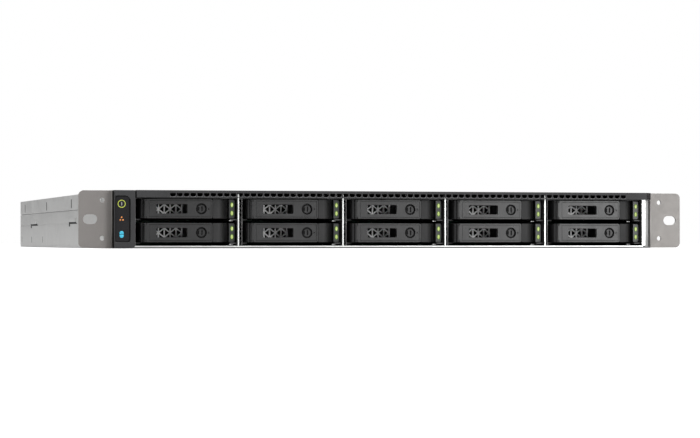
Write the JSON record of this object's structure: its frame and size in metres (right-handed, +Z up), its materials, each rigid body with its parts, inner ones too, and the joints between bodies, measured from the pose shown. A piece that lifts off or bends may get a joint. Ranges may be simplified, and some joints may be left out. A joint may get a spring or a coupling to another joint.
{
  "type": "rack network storage enclosure",
  "caption": "Slim rack-mount network storage enclosure with hot-swap drive trays, swing levers, slotted mounting ears, fans and plug-in power supplies.",
  "frame": {"origin": "midway between the two rack slots, on the front face of the mounting ears, at the chassis's mid height", "axes": "+X to the right seen from the front, +Y to the rear, +Z up"},
  "size_m": [0.4826, 0.586, 0.0436],
  "materials": {
    "sheet_steel": "bare zinc-coated sheet, satin",
    "ear_steel": "warm grey satin plate",
    "cage_steel": "bright zinc sheet",
    "bezel_plastic": "fine moulded texture, black",
    "light_lens": "lit translucent lens",
    "button_plastic": "satin black",
    "tray_plastic": "satin black moulding with a metal drive",
    "lever_plastic": "satin black moulding",
    "circuit_board": "green solder resist with dark components",
    "fan_plastic": "black moulding",
    "heatsink_aluminium": "bare extruded aluminium",
    "port_metal": "plated shell",
    "psu_steel": "zinc sheet casing",
    "latch_plastic": "red moulding",
    "handle_plastic": "black moulding",
    "screw_steel": "dark plated screws"
  },
  "bodies": {
    "root": {"chassis_base": "sheet_steel", "left_ear": "ear_steel", "right_ear": "ear_steel", "bay_cage": "cage_steel", "vent_bar": "bezel_plastic", "control_panel": "bezel_plastic", "status_lights": "light_lens", "front_panel_board": "circuit_board", "backplane": "circuit_board", "fan_frames": "fan_plastic", "motherboard": "circuit_board", "cpu_heatsink": "heatsink_aluminium", "memory_modules": "circuit_board", "io_ports": "port_metal", "expansion_covers": "cage_steel", "case_screws": "screw_steel"},
    "power_button": {"power_button": "button_plastic"},
    "tray_1": {"tray_1": "tray_plastic"},
    "lever_1": {"lever_1": "lever_plastic"},
    "release_button_1": {"release_button_1": "button_plastic"},
    "tray_2": {"tray_2": "tray_plastic"},
    "lever_2": {"lever_2": "lever_plastic"},
    "release_button_2": {"release_button_2": "button_plastic"},
    "tray_3": {"tray_3": "tray_plastic"},
    "lever_3": {"lever_3": "lever_plastic"},
    "release_button_3": {"release_button_3": "button_plastic"},
    "tray_4": {"tray_4": "tray_plastic"},
    "lever_4": {"lever_4": "lever_plastic"},
    "release_button_4": {"release_button_4": "button_plastic"},
    "tray_5": {"tray_5": "tray_plastic"},
    "lever_5": {"lever_5": "lever_plastic"},
    "release_button_5": {"release_button_5": "button_plastic"},
    "tray_6": {"tray_6": "tray_plastic"},
    "lever_6": {"lever_6": "lever_plastic"},
    "release_button_6": {"release_button_6": "button_plastic"},
    "tray_7": {"tray_7": "tray_plastic"},
    "lever_7": {"lever_7": "lever_plastic"},
    "release_button_7": {"release_button_7": "button_plastic"},
    "tray_8": {"tray_8": "tray_plastic"},
    "lever_8": {"lever_8": "lever_plastic"},
    "release_button_8": {"release_button_8": "button_plastic"},
    "tray_9": {"tray_9": "tray_plastic"},
    "lever_9": {"lever_9": "lever_plastic"},
    "release_button_9": {"release_button_9": "button_plastic"},
    "tray_10": {"tray_10": "tray_plastic"},
    "lever_10": {"lever_10": "lever_plastic"},
    "release_button_10": {"release_button_10": "button_plastic"},
    "fan_rotor_1": {"fan_rotor_1": "fan_plastic"},
    "fan_rotor_2": {"fan_rotor_2": "fan_plastic"},
    "fan_rotor_3": {"fan_rotor_3": "fan_plastic"},
    "fan_rotor_4": {"fan_rotor_4": "fan_plastic"},
    "fan_rotor_5": {"fan_rotor_5": "fan_plastic"},
    "fan_rotor_6": {"fan_rotor_6": "fan_plastic"},
    "psu_1": {"psu_1": "psu_steel", "psu_handle_1": "handle_plastic"},
    "psu_latch_1": {"psu_latch_1": "latch_plastic"},
    "psu_2": {"psu_2": "psu_steel", "psu_handle_2": "handle_plastic"},
    "psu_latch_2": {"psu_latch_2": "latch_plastic"},
    "top_cover": {"top_cover": "sheet_steel"}
  },
  "joints": [
    {"name": "power_press", "type": "slide", "parent": "root", "child": "power_button", "axis": [0, 1, 0], "range_m": [0, 0.0008], "stiffness_N_per_m": 200},
    {"name": "tray_slide_1", "type": "slide", "parent": "root", "child": "tray_1", "axis": [0, -1, 0], "range_m": [0, 0.13]},
    {"name": "lever_swing_1", "type": "hinge", "parent": "tray_1", "child": "lever_1", "pos_m": [-0.1914, -0.0002, 0.008], "axis": [0, 0, -1], "range_deg": [0, 75]},
    {"name": "release_press_1", "type": "slide", "parent": "lever_1", "child": "release_button_1", "axis": [0, 1, 0], "range_m": [0, 0.0012], "stiffness_N_per_m": 150},
    {"name": "tray_slide_2", "type": "slide", "parent": "root", "child": "tray_2", "axis": [0, -1, 0], "range_m": [0, 0.13]},
    {"name": "lever_swing_2", "type": "hinge", "parent": "tray_2", "child": "lever_2", "pos_m": [-0.1092, -0.0002, 0.008], "axis": [0, 0, -1], "range_deg": [0, 75]},
    {"name": "release_press_2", "type": "slide", "parent": "lever_2", "child": "release_button_2", "axis": [0, 1, 0], "range_m": [0, 0.0012], "stiffness_N_per_m": 150},
    {"name": "tray_slide_3", "type": "slide", "parent": "root", "child": "tray_3", "axis": [0, -1, 0], "range_m": [0, 0.13]},
    {"name": "lever_swing_3", "type": "hinge", "parent": "tray_3", "child": "lever_3", "pos_m": [-0.027, -0.0002, 0.008], "axis": [0, 0, -1], "range_deg": [0, 75]},
    {"name": "release_press_3", "type": "slide", "parent": "lever_3", "child": "release_button_3", "axis": [0, 1, 0], "range_m": [0, 0.0012], "stiffness_N_per_m": 150},
    {"name": "tray_slide_4", "type": "slide", "parent": "root", "child": "tray_4", "axis": [0, -1, 0], "range_m": [0, 0.13]},
    {"name": "lever_swing_4", "type": "hinge", "parent": "tray_4", "child": "lever_4", "pos_m": [0.0552, -0.0002, 0.008], "axis": [0, 0, -1], "range_deg": [0, 75]},
    {"name": "release_press_4", "type": "slide", "parent": "lever_4", "child": "release_button_4", "axis": [0, 1, 0], "range_m": [0, 0.0012], "stiffness_N_per_m": 150},
    {"name": "tray_slide_5", "type": "slide", "parent": "root", "child": "tray_5", "axis": [0, -1, 0], "range_m": [0, 0.13]},
    {"name": "lever_swing_5", "type": "hinge", "parent": "tray_5", "child": "lever_5", "pos_m": [0.1374, -0.0002, 0.008], "axis": [0, 0, -1], "range_deg": [0, 75]},
    {"name": "release_press_5", "type": "slide", "parent": "lever_5", "child": "release_button_5", "axis": [0, 1, 0], "range_m": [0, 0.0012], "stiffness_N_per_m": 150},
    {"name": "tray_slide_6", "type": "slide", "parent": "root", "child": "tray_6", "axis": [0, -1, 0], "range_m": [0, 0.13]},
    {"name": "lever_swing_6", "type": "hinge", "parent": "tray_6", "child": "lever_6", "pos_m": [-0.1914, -0.0002, -0.01], "axis": [0, 0, -1], "range_deg": [0, 75]},
    {"name": "release_press_6", "type": "slide", "parent": "lever_6", "child": "release_button_6", "axis": [0, 1, 0], "range_m": [0, 0.0012], "stiffness_N_per_m": 150},
    {"name": "tray_slide_7", "type": "slide", "parent": "root", "child": "tray_7", "axis": [0, -1, 0], "range_m": [0, 0.13]},
    {"name": "lever_swing_7", "type": "hinge", "parent": "tray_7", "child": "lever_7", "pos_m": [-0.1092, -0.0002, -0.01], "axis": [0, 0, -1], "range_deg": [0, 75]},
    {"name": "release_press_7", "type": "slide", "parent": "lever_7", "child": "release_button_7", "axis": [0, 1, 0], "range_m": [0, 0.0012], "stiffness_N_per_m": 150},
    {"name": "tray_slide_8", "type": "slide", "parent": "root", "child": "tray_8", "axis": [0, -1, 0], "range_m": [0, 0.13]},
    {"name": "lever_swing_8", "type": "hinge", "parent": "tray_8", "child": "lever_8", "pos_m": [-0.027, -0.0002, -0.01], "axis": [0, 0, -1], "range_deg": [0, 75]},
    {"name": "release_press_8", "type": "slide", "parent": "lever_8", "child": "release_button_8", "axis": [0, 1, 0], "range_m": [0, 0.0012], "stiffness_N_per_m": 150},
    {"name": "tray_slide_9", "type": "slide", "parent": "root", "child": "tray_9", "axis": [0, -1, 0], "range_m": [0, 0.13]},
    {"name": "lever_swing_9", "type": "hinge", "parent": "tray_9", "child": "lever_9", "pos_m": [0.0552, -0.0002, -0.01], "axis": [0, 0, -1], "range_deg": [0, 75]},
    {"name": "release_press_9", "type": "slide", "parent": "lever_9", "child": "release_button_9", "axis": [0, 1, 0], "range_m": [0, 0.0012], "stiffness_N_per_m": 150},
    {"name": "tray_slide_10", "type": "slide", "parent": "root", "child": "tray_10", "axis": [0, -1, 0], "range_m": [0, 0.13]},
    {"name": "lever_swing_10", "type": "hinge", "parent": "tray_10", "child": "lever_10", "pos_m": [0.1374, -0.0002, -0.01], "axis": [0, 0, -1], "range_deg": [0, 75]},
    {"name": "release_press_10", "type": "slide", "parent": "lever_10", "child": "release_button_10", "axis": [0, 1, 0], "range_m": [0, 0.0012], "stiffness_N_per_m": 150},
    {"name": "fan_spin_1", "type": "hinge", "parent": "root", "child": "fan_rotor_1", "pos_m": [-0.17, 0.178, -0.0006], "axis": [0, 1, 0], "continuous": true},
    {"name": "fan_spin_2", "type": "hinge", "parent": "root", "child": "fan_rotor_2", "pos_m": [-0.102, 0.178, -0.0006], "axis": [0, 1, 0], "continuous": true},
    {"name": "fan_spin_3", "type": "hinge", "parent": "root", "child": "fan_rotor_3", "pos_m": [-0.034, 0.178, -0.0006], "axis": [0, 1, 0], "continuous": true},
    {"name": "fan_spin_4", "type": "hinge", "parent": "root", "child": "fan_rotor_4", "pos_m": [0.034, 0.178, -0.0006], "axis": [0, 1, 0], "continuous": true},
    {"name": "fan_spin_5", "type": "hinge", "parent": "root", "child": "fan_rotor_5", "pos_m": [0.102, 0.178, -0.0006], "axis": [0, 1, 0], "continuous": true},
    {"name": "fan_spin_6", "type": "hinge", "parent": "root", "child": "fan_rotor_6", "pos_m": [0.17, 0.178, -0.0006], "axis": [0, 1, 0], "continuous": true},
    {"name": "psu_slide_1", "type": "slide", "parent": "root", "child": "psu_1", "axis": [0, 1, 0], "range_m": [0, 0.19]},
    {"name": "psu_latch_press_1", "type": "hinge", "parent": "psu_1", "child": "psu_latch_1", "pos_m": [0.1304, 0.5592, -0.0008], "axis": [0, 0, 1], "range_deg": [0, 14], "stiffness_Nm_per_rad": 0.05},
    {"name": "psu_slide_2", "type": "slide", "parent": "root", "child": "psu_2", "axis": [0, 1, 0], "range_m": [0, 0.19]},
    {"name": "psu_latch_press_2", "type": "hinge", "parent": "psu_2", "child": "psu_latch_2", "pos_m": [0.2054, 0.5592, -0.0008], "axis": [0, 0, 1], "range_deg": [0, 14], "stiffness_Nm_per_rad": 0.05},
    {"name": "cover_lift", "type": "slide", "parent": "root", "child": "top_cover", "axis": [0, 0, 1], "range_m": [0, 0.06]}
  ]
}
